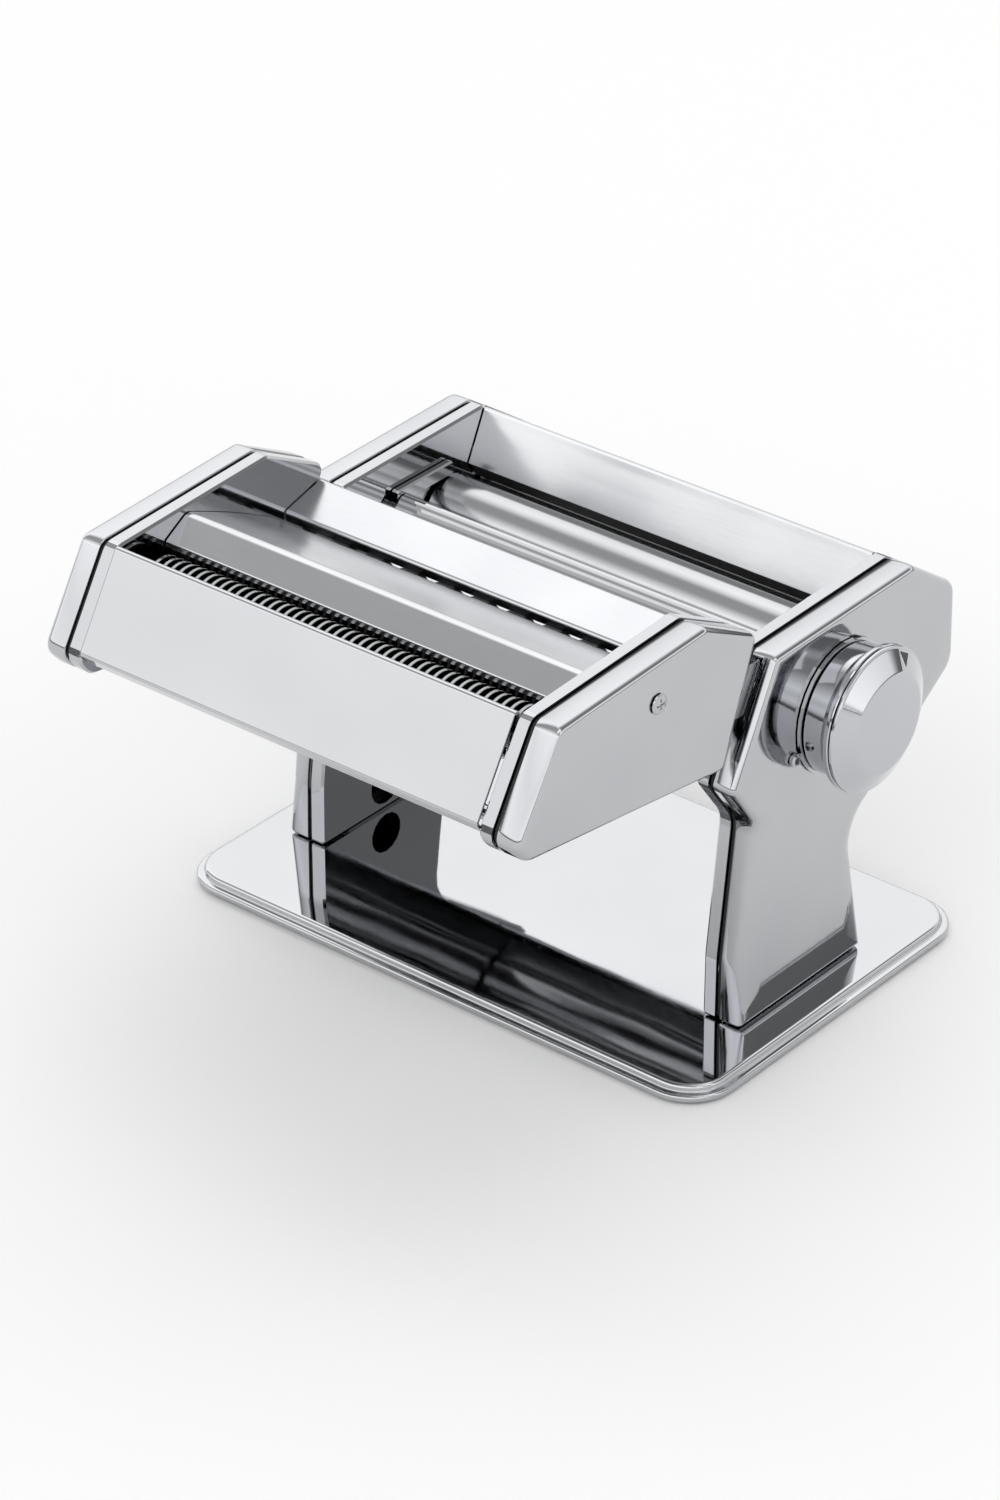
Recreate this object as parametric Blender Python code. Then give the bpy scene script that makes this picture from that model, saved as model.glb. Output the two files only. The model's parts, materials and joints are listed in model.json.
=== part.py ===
# Pasta roller machine with a lift-off cutter unit.
# X runs along the rollers (right-hand side, with the knob, at +X), Y from front to back, Z up.
# Lengths are written in millimetres and turned into metres by MM when a mesh is made.

import math

import bmesh
import bpy
from mathutils import Matrix, Vector
from mathutils.geometry import intersect_line_line_2d

MM = 0.001

# ---------------------------------------------------------------- driving dimensions (mm)

# base tray
BASE_HALF_X = 103.0
BASE_HALF_Y = 68.4
BASE_CORNER = 16.0
BASE_TOP = 5.4
BASE_SKIRT_BOTTOM = 0.9
BASE_SHEET = 1.1
FOOT_RADIUS = 7.0
FOOT_INSET = 17.0

# working width and side frames
INNER_HALF = 75.0
PAN_DEPTH = 4.6
SEAM_GAP = 1.7
COVER_DEPTH = 8.2
COVER_BEVEL = 2.3
COVER_BEVEL_DEPTH = 2.9
WALL = 1.2
SHEET = 0.9
FIT = 0.35
END_GAP = 0.4

# outline of an upright: (y, z, corner radius)
LEG_BOTTOM = BASE_TOP + FIT
HEAD_TOP_FRONT = (-18.1, 127.8)
HEAD_TOP_REAR = (49.7, 129.3)
HEAD_REAR_HIGH_Z = 114.0
HEAD_REAR_LOW_Z = 87.0
HEAD_REAR_ROOM = 3.9
NOSE = (-36.8, 90.0)
LEG_REAR_NECK = (24.4, 50.0)
LEG_FRONT_NECK = (-24.4, 73.5)
LEG_FRONT_KNEE = (-30.2, 27.0)
LEG_FRONT_FOOT = -30.4
LEG_REAR_FOOT = 30.4

# outline of a cutter cap: (y, z)
CAP_TOP_FRONT = (-117.6, 149.2)
CAP_TOP_REAR = (-51.5, 152.3)
CAP_REAR_HIGH = (-26.4, 139.4)
CAP_REAR_LOW = (-41.5, 100.5)
CAP_BOTTOM_FRONT = (-130.5, 112.0)
CAP_CHIN = (-136.2, 118.6)

# regulator
KNOB_Y = 14.4
KNOB_Z = 97.5
REGULATOR_SHAFT = 3.6
REGULATOR_TURN = math.radians(288.0)
NECK_RADIUS = 20.6
KNOB_RADIUS = 23.0
KNOB_FACE_RADIUS = 15.5
KNOB_LENGTH = 16.2
KNOB_CAP_LENGTH = 5.4
KNOB_PULL = 4.0
INDEX_PLATE_RADIUS = 21.6
INDEX_PLATE = 1.0
INDEX_PIN_ANGLE = math.radians(199.0)
INDEX_PIN_RADIUS = 2.1

# smooth rollers
ROLLER_RADIUS = 11.8
ROLLER_SHAFT = 4.6
ROLLER_Z = 101.0
ROLLER_ROOM = 0.7
NIP_WIDEST = 2.5
NIP_NARROWEST = 0.3
GEAR_TEETH = 12
BLOCK_HALF = 8.6
BLOCK_DEPTH = 3.0

# cutter pairs: place of the nip, height, distance between the two axes
NARROW_NIP_Y = -97.0
CUTTER_BED_Z = 126.2
NARROW_SPACING = 16.0
WIDE_NIP_Y = -55.0
WIDE_Z = 118.0
WIDE_SPACING = 17.0
CUTTER_SHAFT = 3.4
SOCKET_WALL = 1.9
SOCKET_DEPTH = 9.0

# cutter unit sheets
SHEET_TOP = (-118.3, 150.0)
SHEET_BOTTOM = (-135.2, 121.8)
RIDGE_CREST = (-87.7, 148.6)
RIDGE_FRONT_LIP = (-97.5, 142.9)
RIDGE_REAR_LIP = (-50.4, 131.2)
FEED_REAR = (-28.8, 135.2)
FEED_FRONT = (-44.8, 130.9)

# the two sheets of the body that the dough meets
HOPPER_TOP = (49.2, 128.6)
RAIL = (7.2, 115.6)
RAIL_RADIUS = 1.6

BRACKET_SHEET = 2.2
CLAMP_HOLE_RADIUS = 7.0
CLAMP_HOLE_Z = 14.5

# ---------------------------------------------------------------- derived places (mm)

FRONT_ROLLER_Y = KNOB_Y + REGULATOR_SHAFT + ROLLER_ROOM + ROLLER_RADIUS
REAR_ROLLER_Y = FRONT_ROLLER_Y + 2 * ROLLER_RADIUS + NIP_WIDEST
GAP_TRAVEL = NIP_WIDEST - NIP_NARROWEST
HEAD_REAR = REAR_ROLLER_Y + ROLLER_RADIUS + HEAD_REAR_ROOM
PAN_RIM = INNER_HALF + PAN_DEPTH
COVER_RIM = PAN_RIM + SEAM_GAP
COVER_FACE = COVER_RIM + COVER_DEPTH
GASKET = (PAN_RIM + FIT, COVER_RIM - FIT)
SHEET_END = INNER_HALF - END_GAP
GEAR_INNER = COVER_RIM + FIT
GEAR_WIDTH = COVER_DEPTH - 3.8
KNOB_BACK = COVER_FACE + FIT + INDEX_PLATE + FIT
KNOB_FACE = KNOB_BACK + KNOB_LENGTH
SHAFT_END = KNOB_BACK + KNOB_PULL + 2.6
NARROW_Z = CUTTER_BED_Z + NARROW_SPACING / 2
NARROW_FRONT_Y = NARROW_NIP_Y - NARROW_SPACING / 2
NARROW_REAR_Y = NARROW_NIP_Y + NARROW_SPACING / 2
WIDE_FRONT_Y = WIDE_NIP_Y - WIDE_SPACING / 2
WIDE_REAR_Y = WIDE_NIP_Y + WIDE_SPACING / 2

HEAD = [
    (*HEAD_TOP_FRONT, 3.0), (*NOSE, 3.0), (*LEG_FRONT_NECK, 9.0), (*LEG_FRONT_KNEE, 30.0),
    (LEG_FRONT_FOOT, LEG_BOTTOM, 1.0), (LEG_REAR_FOOT, LEG_BOTTOM, 1.0),
    (*LEG_REAR_NECK, 14.0), (HEAD_REAR + 0.6, HEAD_REAR_LOW_Z, 9.0), (HEAD_REAR, HEAD_REAR_HIGH_Z, 6.0),
    (*HEAD_TOP_REAR, 5.0),
]
CAP = [
    (*CAP_TOP_FRONT, 4.5), (*CAP_CHIN, 5.0), (*CAP_BOTTOM_FRONT, 6.0), (*CAP_REAR_LOW, 3.0),
    (*CAP_REAR_HIGH, 3.0), (*CAP_TOP_REAR, 4.0),
]

FINISHES = {
    "polished_steel": ((0.72, 0.73, 0.74), 0.08, 1.0),
    "brushed_steel": ((0.62, 0.63, 0.64), 0.25, 1.0),
    "ground_steel": ((0.55, 0.56, 0.57), 0.18, 1.0),
    "zinc_plate": ((0.50, 0.50, 0.50), 0.35, 1.0),
    "black_gasket": ((0.012, 0.012, 0.013), 0.55, 0.0),
    "black_rubber": ((0.02, 0.02, 0.02), 0.8, 0.0),
    "white_bush": ((0.72, 0.71, 0.68), 0.45, 0.0),
}


# ---------------------------------------------------------------- scene and object helpers

def clear_scene():
    for obj in list(bpy.data.objects):
        bpy.data.objects.remove(obj, do_unlink=True)


def make_empty(name, y, z, parent=None):
    empty = bpy.data.objects.new(name, None)
    empty.empty_display_size = 10 * MM
    bpy.context.collection.objects.link(empty)
    place_world(empty, y, z, parent)
    return empty


def place_world(obj, y, z, parent):
    """Put an object's origin at (0, y, z) of the machine, under its parent empty."""
    obj["at"] = (0.0, y, z)
    offset = Vector((0.0, 0.0, 0.0))
    if parent is not None:
        obj.parent = parent
        offset = Vector(parent["at"])
    obj.location = (Vector((0.0, y, z)) - offset) * MM


def finish_object(name, mesh_builder, finish, parent, at=(0.0, 0.0), smooth=40.0):
    """Turn a bmesh (machine coordinates, mm) into a shaded, placed object."""
    bmesh.ops.recalc_face_normals(mesh_builder, faces=mesh_builder.faces)
    bmesh.ops.translate(mesh_builder, verts=mesh_builder.verts, vec=(0.0, -at[0], -at[1]))
    bmesh.ops.scale(mesh_builder, verts=mesh_builder.verts, vec=(MM, MM, MM))
    mesh = bpy.data.meshes.new(name)
    mesh_builder.to_mesh(mesh)
    mesh_builder.free()
    mesh.shade_smooth()
    mesh.set_sharp_from_angle(angle=math.radians(smooth))
    obj = bpy.data.objects.new(name, mesh)
    bpy.context.collection.objects.link(obj)
    place_world(obj, at[0], at[1], parent)
    colour, roughness, metallic = FINISHES[finish]
    material = bpy.data.materials.new(name + "_" + finish)
    material.use_nodes = True
    shader = material.node_tree.nodes["Principled BSDF"]
    shader.inputs["Base Color"].default_value = (*colour, 1.0)
    shader.inputs["Roughness"].default_value = roughness
    shader.inputs["Metallic"].default_value = metallic
    mesh.materials.append(material)
    return obj


def cut(obj, cutter, label):
    """Subtract a hidden guide object."""
    cutter.hide_render = True
    cutter.hide_viewport = True
    cutter.display_type = "WIRE"
    boolean = obj.modifiers.new(label, "BOOLEAN")
    boolean.operation = "DIFFERENCE"
    boolean.object = cutter


# ---------------------------------------------------------------- outlines in the Y-Z plane

def offset_corners(corners, inset):
    """Move every side of a clockwise-or-not outline inwards and return the new corners."""
    count = len(corners)
    area = 0.0
    for i in range(count):
        a = corners[i]
        b = corners[(i + 1) % count]
        area += a[0] * b[1] - b[0] * a[1]
    turn = 1.0 if area > 0 else -1.0
    moved = []
    for i in range(count):
        before = Vector(corners[i - 1][:2])
        here = Vector(corners[i][:2])
        after = Vector(corners[(i + 1) % count][:2])
        d1 = (here - before).normalized()
        d2 = (after - here).normalized()
        n1 = Vector((-d1.y, d1.x)) * turn
        n2 = Vector((-d2.y, d2.x)) * turn
        mitre = (n1 + n2) / (1.0 + n1.dot(n2))
        convex = (d1.x * d2.y - d1.y * d2.x) * turn > 0
        radius = corners[i][2]
        radius = max(radius - inset, 0.4) if convex else radius + inset
        point = here + mitre * inset
        moved.append((point.x, point.y, radius))
    return moved


def outline(corners, inset=0.0, steps=3):
    """Rounded outline with the same number of points at every inset."""
    points = []
    moved = offset_corners(corners, inset)
    count = len(moved)
    for i in range(count):
        here = Vector(moved[i][:2])
        to_before = (Vector(moved[i - 1][:2]) - here).normalized()
        to_after = (Vector(moved[(i + 1) % count][:2]) - here).normalized()
        half = to_before.angle(to_after) / 2
        reach = moved[i][2] / math.tan(half)
        centre = here + (to_before + to_after).normalized() * (moved[i][2] / math.sin(half))
        start = here + to_before * reach - centre
        sweep = start.angle_signed(here + to_after * reach - centre)
        for k in range(steps + 1):
            turned = start.copy()
            turned.rotate(Matrix.Rotation(-sweep * k / steps, 2))
            points.append(centre + turned)
    return points


# ---------------------------------------------------------------- solid builders

def skin_loops(loops, closed=False):
    """Join a list of point loops into one closed solid; end loops are capped unless closed."""
    builder = bmesh.new()
    rings = []
    for loop in loops:
        rings.append([builder.verts.new(point) for point in loop])
    pairs = list(zip(rings, rings[1:]))
    if closed:
        pairs.append((rings[-1], rings[0]))
    else:
        builder.faces.new(rings[0])
        builder.faces.new(rings[-1])
    for first, second in pairs:
        count = len(first)
        for i in range(count):
            j = (i + 1) % count
            builder.faces.new((first[i], first[j], second[j], second[i]))
    return builder


def shell(corners, stations, side, steps=3):
    """Skin an outline through (x, inset) stations; side is +1 right, -1 left."""
    loops = []
    for x, inset in stations:
        loops.append([(side * x, p.x, p.y) for p in outline(corners, inset, steps)])
    return skin_loops(loops)


def lathe(profile, y, z, segments=16, closed=False, phase=0.0):
    """Turn an (x, radius) profile about the line through (y, z) parallel to X."""
    loops = []
    for x, radius in profile:
        loop = []
        for k in range(segments):
            angle = phase + 2 * math.pi * k / segments
            loop.append((x, y + radius * math.cos(angle), z + radius * math.sin(angle)))
        loops.append(loop)
    return skin_loops(loops, closed)


def tube(x0, x1, outer, bore, y, z, segments=16):
    profile = [(x0, bore), (x0, outer), (x1, outer), (x1, bore)]
    return lathe(profile, y, z, segments, closed=True)


def extrude_outline(points, x0, x1):
    """Prism of an explicit Y-Z polygon between two X planes."""
    return skin_loops([[(x0, p[0], p[1]) for p in points], [(x1, p[0], p[1]) for p in points]])


def without_loops(points):
    """Cut off the small loops that a tight fold leaves on its inner side."""
    points = list(points)
    i = 0
    while i < len(points) - 3:
        for j in range(len(points) - 2, i + 1, -1):
            meeting = intersect_line_line_2d(points[i], points[i + 1], points[j], points[j + 1])
            if meeting is not None:
                points[i + 1:j + 1] = [meeting]
                break
        i += 1
    return points


def sheet_outline(path, thickness):
    """Close an open folded path, given as (y, z), into a strip on its left side."""
    centre = [Vector(p) for p in path]
    inner = []
    for i, here in enumerate(centre):
        before = centre[max(i - 1, 0)]
        after = centre[min(i + 1, len(centre) - 1)]
        d1 = (here - before).normalized() if i else (after - here).normalized()
        d2 = (after - here).normalized() if i < len(centre) - 1 else d1
        n1 = Vector((-d1.y, d1.x))
        n2 = Vector((-d2.y, d2.x))
        inner.append(here + (n1 + n2) / (1.0 + n1.dot(n2)) * thickness)
    return centre + without_loops(inner)[::-1]


def soften(path, radius, steps=3):
    """Round the inner corners of an open path."""
    points = [Vector(path[0])]
    for before, here, after in zip(path, path[1:], path[2:]):
        here = Vector(here)
        to_before = Vector(before) - here
        to_after = Vector(after) - here
        reach = min(radius, to_before.length * 0.45, to_after.length * 0.45)
        start = here + to_before.normalized() * reach
        end = here + to_after.normalized() * reach
        for k in range(steps + 1):
            t = k / steps
            points.append(start * (1 - t) ** 2 + here * 2 * t * (1 - t) + end * t ** 2)
    points.append(Vector(path[-1]))
    return points


def gear(x0, x1, y, z, tip, root, bore, phase):
    """Spur gear with tapered teeth around a bore."""
    outer = []
    step = 2 * math.pi / GEAR_TEETH
    for k in range(GEAR_TEETH):
        for part, radius in ((-0.27, root), (-0.10, tip), (0.10, tip), (0.27, root)):
            angle = phase + (k + part) * step
            outer.append((y + radius * math.cos(angle), z + radius * math.sin(angle)))
    inner = []
    for k in range(4 * GEAR_TEETH):
        angle = phase + (k / 4 - 0.27) * step
        inner.append((y + bore * math.cos(angle), z + bore * math.sin(angle)))
    loops = [
        [(x0, *p) for p in inner], [(x0, *p) for p in outer],
        [(x1, *p) for p in outer], [(x1, *p) for p in inner],
    ]
    return skin_loops(loops, closed=True)


def bar(name, x0, x1, radius, y, z, finish, parent, segments=12):
    builder = lathe([(x0, radius), (x1, radius)], y, z, segments)
    return finish_object(name, builder, finish, parent, at=(y, z))


def guide_rod(name, x0, x1, radius, y, z, parent, stretch=0.0):
    """Hidden cutter: a rod along X, optionally stretched into a slot along +Y."""
    loops = []
    for x in (x0, x1):
        loop = []
        for k in range(14):
            angle = 2 * math.pi * (k + 0.5) / 14
            shift = stretch if math.cos(angle) > 0 else 0.0
            loop.append((x, y + shift + radius * math.cos(angle), z + radius * math.sin(angle)))
        loops.append(loop)
    builder = skin_loops(loops)
    return finish_object(name, builder, "zinc_plate", parent)


SIDES = (("left", -1), ("right", 1))


# ---------------------------------------------------------------- frame

def build_base(frame):
    def ring(inset, z):
        corner = BASE_CORNER - min(inset, BASE_CORNER - 1)
        loop = []
        for k in range(4):
            cx = (BASE_HALF_X - inset - corner) * (1, -1, -1, 1)[k]
            cy = (BASE_HALF_Y - inset - corner) * (1, 1, -1, -1)[k]
            for step in range(6):
                angle = math.pi / 2 * (k + step / 5)
                loop.append((cx + corner * math.cos(angle), cy + corner * math.sin(angle), z))
        return loop

    under = BASE_TOP - BASE_SHEET
    stations = [
        (5.4, under), (1.5, under - 1.7), (BASE_SHEET, BASE_SKIRT_BOTTOM), (0.3, BASE_SKIRT_BOTTOM),
        (0.0, BASE_SKIRT_BOTTOM + 0.5), (0.0, 2.4), (0.6, 3.0), (1.9, 3.2), (2.5, 3.6), (3.3, 4.9),
        (4.1, BASE_TOP),
    ]
    builder = skin_loops([ring(inset, z) for inset, z in stations])
    finish_object("base_tray", builder, "polished_steel", frame, smooth=50)


def build_feet(frame):
    top = BASE_TOP - BASE_SHEET - FIT
    for side_x, label_x in ((-1, "left"), (1, "right")):
        for side_y, label_y in ((-1, "front"), (1, "rear")):
            x = side_x * (BASE_HALF_X - FOOT_INSET)
            y = side_y * (BASE_HALF_Y - FOOT_INSET)
            loops = []
            for z, radius in ((0.0, FOOT_RADIUS - 0.6), (0.6, FOOT_RADIUS), (top, FOOT_RADIUS - 0.4)):
                loop = []
                for k in range(16):
                    angle = 2 * math.pi * k / 16
                    loop.append((x + radius * math.cos(angle), y + radius * math.sin(angle), z))
                loops.append(loop)
            name = f"{label_x}_{label_y}_foot"
            finish_object(name, skin_loops(loops), "black_rubber", frame)


def build_pan(name, corners, side, parent):
    """Flanged inner plate: a pan that is open outwards."""
    stations = [
        (INNER_HALF + WALL, WALL + 0.2), (PAN_RIM, WALL), (PAN_RIM, 0.0),
        (INNER_HALF + 0.8, 0.0), (INNER_HALF, 0.7),
    ]
    return finish_object(name, shell(corners, stations, side), "polished_steel", parent)


def build_cover(name, corners, side, parent):
    """Outer shell with a bevelled rim, open inwards."""
    bevel_start = COVER_FACE - COVER_BEVEL_DEPTH
    stations = [
        (COVER_FACE - WALL, COVER_BEVEL + WALL), (bevel_start, WALL), (COVER_RIM, WALL),
        (COVER_RIM, 0.0), (bevel_start, 0.0), (bevel_start + 1.4, 0.45),
        (COVER_FACE - 0.4, COVER_BEVEL - 0.5), (COVER_FACE, COVER_BEVEL),
    ]
    return finish_object(name, shell(corners, stations, side), "polished_steel", parent)


def build_gasket(name, corners, side, parent):
    """Recessed black band between a pan and its cover."""
    near, far = GASKET
    loops = []
    for x, inset in ((near, 0.9), (far, 0.9), (far, 2.9), (near, 2.9)):
        loops.append([(side * x, p.x, p.y) for p in outline(corners, inset)])
    return finish_object(name, skin_loops(loops, closed=True), "black_gasket", parent)


def build_uprights(frame):
    reach = (INNER_HALF - 1, PAN_RIM + 1)
    slot = ROLLER_SHAFT + FIT
    for label, side in SIDES:
        pan = build_pan(f"{label}_inner_plate", HEAD, side, frame)
        cover = build_cover(f"{label}_cover", HEAD, side, frame)
        build_gasket(f"{label}_seam_gasket", HEAD, side, frame)
        x0, x1 = side * reach[0], side * reach[1]
        guides = [
            guide_rod(f"guide_{label}_front", x0, x1, slot, FRONT_ROLLER_Y, ROLLER_Z, frame, GAP_TRAVEL),
            guide_rod(f"guide_{label}_rear", x0, x1, slot, REAR_ROLLER_Y, ROLLER_Z, frame),
            guide_rod(f"guide_{label}_regulator", x0, x1, REGULATOR_SHAFT + FIT, KNOB_Y, KNOB_Z, frame),
            guide_rod(f"guide_{label}_clamp", x0, x1, CLAMP_HOLE_RADIUS, 0, CLAMP_HOLE_Z, frame),
        ]
        for guide in guides:
            cut(pan, guide, guide.name)
        face = (side * (COVER_FACE - WALL - 2), side * (COVER_FACE + 1))
        if side > 0:
            shaft = REGULATOR_SHAFT + FIT
            hole = guide_rod("guide_cover_knob", *face, shaft, KNOB_Y, KNOB_Z, frame)
        else:
            bush = ROLLER_SHAFT + 2 + 2 * FIT
            hole = guide_rod("guide_cover_crank", *face, bush, REAR_ROLLER_Y, ROLLER_Z, frame)
        cut(cover, hole, hole.name)
        build_leg_press(label, side, cover, frame)


def build_leg_press(label, side, cover, frame):
    """Shallow pressed panel on the outer face of each leg, under a curved shoulder."""
    shoulder = [(-60.0, 44.0), (-24.0, 52.0), (-10.0, 60.0), (10.0, 66.0), (60.0, 70.0)]
    points = [(-60.0, -5.0)] + [tuple(p) for p in soften(shoulder, 12.0)] + [(60.0, -5.0)]
    builder = extrude_outline(points, side * (COVER_FACE - 0.5), side * (COVER_FACE + 3))
    guide = finish_object(f"guide_{label}_leg_press", builder, "zinc_plate", frame)
    cut(cover, guide, guide.name)


def build_folded(name, path, radius, parent, at=(0.0, 0.0), finish="polished_steel", end=None):
    half = SHEET_END if end is None else end
    points = sheet_outline(soften(path, radius), SHEET)
    return finish_object(name, extrude_outline(points, -half, half), finish, parent, at=at, smooth=35)


def build_body_sheets(frame):
    top = Vector(HOPPER_TOP)
    hopper = [
        top + Vector((2.0, -4.6)), top + Vector((2.2, -0.6)), top + Vector((0.0, 0.4)),
        top + Vector((-1.3, -2.6)), top + Vector((-4.2, -8.6)), top + Vector((-8.0, -16.2)),
    ]
    build_folded("hopper_sheet", [tuple(p) for p in hopper], 1.0, frame)

    inset = offset_corners(HEAD, SHEET + FIT)
    low = inset[7]
    high = inset[8]
    crown = inset[9]
    rear = [
        (low[0] - 14.0, low[1] - 10.8), low[:2], high[:2],
        (crown[0] + 4.6, crown[1] - 3.4),
    ]
    build_folded("rear_cover", rear, 5.0, frame)

    nose = offset_corners(HEAD, FIT)[1]
    rail = Vector(RAIL)
    front = [
        (rail.x + RAIL_RADIUS, rail.y - 4.0), (rail.x + RAIL_RADIUS, rail.y + 0.4),
        (rail.x - RAIL_RADIUS, rail.y + 0.6), (rail.x - 4.2, rail.y - 2.4), (-15.0, 109.6),
        (-27.4, 107.8), (nose[0] + 1.2, nose[1] + 2.0), (nose[0] + 14.0, nose[1] - 1.0),
    ]
    build_folded("front_cover", front, 1.6, frame, end=SHEET_END - BRACKET_SHEET - FIT)


def build_body_details(frame):
    guide_low = ROLLER_Z + ROLLER_RADIUS + 0.5
    for label, side in SIDES:
        corners = [(3.8, guide_low, 1.0), (31.6, guide_low, 1.0), (31.6, 118.0, 1.4), (3.8, 118.0, 1.4)]
        stations = [(SHEET_END, 0.0), (SHEET_END - 1.6, 0.0), (SHEET_END - 2.2, 0.5)]
        builder = shell(corners, stations, side, steps=2)
        finish_object(f"{label}_dough_guide", builder, "polished_steel", frame)

    scraper_top = ROLLER_Z - ROLLER_RADIUS - 0.5
    for label, edge_y, reach in (("front", FRONT_ROLLER_Y + 1.0, -10.0), ("rear", REAR_ROLLER_Y, 6.0)):
        drop = abs(reach) * 0.42
        points = [
            (edge_y, scraper_top), (edge_y + reach, scraper_top - drop),
            (edge_y + reach, scraper_top - drop - 1.4), (edge_y, scraper_top - 1.2),
        ]
        builder = extrude_outline(points, -SHEET_END, SHEET_END)
        finish_object(f"{label}_scraper", builder, "brushed_steel", frame, smooth=20)
    bar("front_tie_rod", -SHEET_END, SHEET_END, 2.6, -18.0, 98.0, "ground_steel", frame)

    x0 = COVER_FACE + FIT
    builder = tube(x0, x0 + INDEX_PLATE, INDEX_PLATE_RADIUS, REGULATOR_SHAFT + FIT, KNOB_Y, KNOB_Z, 32)
    finish_object("index_plate", builder, "polished_steel", frame, at=(KNOB_Y, KNOB_Z))
    pin_y = KNOB_Y + (INDEX_PLATE_RADIUS + INDEX_PIN_RADIUS + 0.5) * math.cos(INDEX_PIN_ANGLE)
    pin_z = KNOB_Z + (INDEX_PLATE_RADIUS + INDEX_PIN_RADIUS + 0.5) * math.sin(INDEX_PIN_ANGLE)
    bore = INDEX_PIN_RADIUS * 0.5
    profile = [(x0, bore), (x0, INDEX_PIN_RADIUS), (x0 + 1.0, INDEX_PIN_RADIUS), (x0 + 1.4, bore + 0.4),
               (x0 + 1.4, bore)]
    builder = lathe(profile, pin_y, pin_z, 12, closed=True)
    finish_object("index_pin", builder, "ground_steel", frame)

    bore = ROLLER_SHAFT + FIT
    profile = [
        (-COVER_FACE + WALL, bore), (-COVER_FACE + WALL, bore + 2.0), (-COVER_FACE - FIT, bore + 2.0),
        (-COVER_FACE - FIT, bore + 4.0), (-COVER_FACE - 2.0, bore + 3.4), (-COVER_FACE - 2.0, bore),
    ]
    builder = lathe(profile, REAR_ROLLER_Y, ROLLER_Z, 20, closed=True)
    finish_object("crank_bush", builder, "polished_steel", frame)


# ---------------------------------------------------------------- smooth rollers and regulator

def roller_builder(y, z, radius, half, shaft, left_end, right_end, segments=24):
    profile = [
        (left_end, shaft), (-half, shaft), (-half, radius), (half, radius), (half, shaft),
        (right_end, shaft),
    ]
    return lathe(profile, y, z, segments)


def socket_roller(y, z, radius, half, shaft, left_end, right_end, segments=24):
    """Roller whose left shaft end has a round crank socket."""
    bore = shaft - SOCKET_WALL
    profile = [
        (left_end + SOCKET_DEPTH, bore), (left_end, bore), (left_end, shaft), (-half, shaft), (-half, radius),
        (half, radius), (half, shaft), (right_end, shaft),
    ]
    return lathe(profile, y, z, segments)


def build_rollers(rear_body, front_body):
    half = SHEET_END - 0.6
    shaft_right = PAN_RIM - 0.6
    builder = socket_roller(REAR_ROLLER_Y, ROLLER_Z, ROLLER_RADIUS, half, ROLLER_SHAFT,
                            -COVER_FACE - 1.2, shaft_right)
    at = (REAR_ROLLER_Y, ROLLER_Z)
    finish_object("rear_roller", builder, "polished_steel", rear_body, at=at)
    left_end = -(GEAR_INNER + GEAR_WIDTH + 0.4)
    builder = roller_builder(FRONT_ROLLER_Y, ROLLER_Z, ROLLER_RADIUS, half, ROLLER_SHAFT,
                             left_end, shaft_right)
    at = (FRONT_ROLLER_Y, ROLLER_Z)
    finish_object("front_roller", builder, "polished_steel", front_body, at=at)

    closest = REAR_ROLLER_Y - FRONT_ROLLER_Y - GAP_TRAVEL
    tip = closest / 2 + 1.3
    root = closest / 2 - 2.0
    x0, x1 = -GEAR_INNER, -GEAR_INNER - GEAR_WIDTH
    bore = ROLLER_SHAFT + FIT
    builder = gear(x0, x1, REAR_ROLLER_Y, ROLLER_Z, tip, root, bore, math.pi)
    finish_object("rear_roller_gear", builder, "zinc_plate", rear_body,
                  at=(REAR_ROLLER_Y, ROLLER_Z), smooth=25)
    builder = gear(x0, x1, FRONT_ROLLER_Y, ROLLER_Z, tip, root, bore, math.pi / GEAR_TEETH)
    finish_object("front_roller_gear", builder, "zinc_plate", front_body,
                  at=(FRONT_ROLLER_Y, ROLLER_Z), smooth=25)


def block_places(side):
    near = INNER_HALF + WALL + FIT
    return side * near, side * (near + BLOCK_DEPTH)


def build_blocks(carriage):
    """Sliding bearing blocks, bored for the front roller's shaft."""
    bore = ROLLER_SHAFT + FIT
    for label, side in SIDES:
        x0, x1 = block_places(side)
        outer = []
        inner = []
        for k in range(24):
            angle = 2 * math.pi * (k + 0.5) / 24
            c, n = math.cos(angle), math.sin(angle)
            reach = min(BLOCK_HALF / max(abs(c), abs(n)), BLOCK_HALF * 1.25)
            outer.append((FRONT_ROLLER_Y + reach * c, ROLLER_Z + reach * n))
            inner.append((FRONT_ROLLER_Y + bore * c, ROLLER_Z + bore * n))
        loops = [
            [(x0, *p) for p in inner], [(x0, *p) for p in outer],
            [(x1, *p) for p in outer], [(x1, *p) for p in inner],
        ]
        builder = skin_loops(loops, closed=True)
        finish_object(f"{label}_bearing_block", builder, "white_bush", carriage, smooth=30)


def cam_outline(segments=36):
    """Spiral cam: its reach towards +Y grows by the gap travel over the knob's turn."""
    reach = FRONT_ROLLER_Y - BLOCK_HALF - KNOB_Y - FIT
    points = []
    for k in range(segments):
        angle = 2 * math.pi * k / segments
        part = min(angle / REGULATOR_TURN, 1.0)
        if angle > REGULATOR_TURN:
            part = 1.0 - (angle - REGULATOR_TURN) / (2 * math.pi - REGULATOR_TURN)
        radius = reach + GAP_TRAVEL * part
        points.append((KNOB_Y + radius * math.cos(-angle), KNOB_Z + radius * math.sin(-angle)))
    return points


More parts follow.
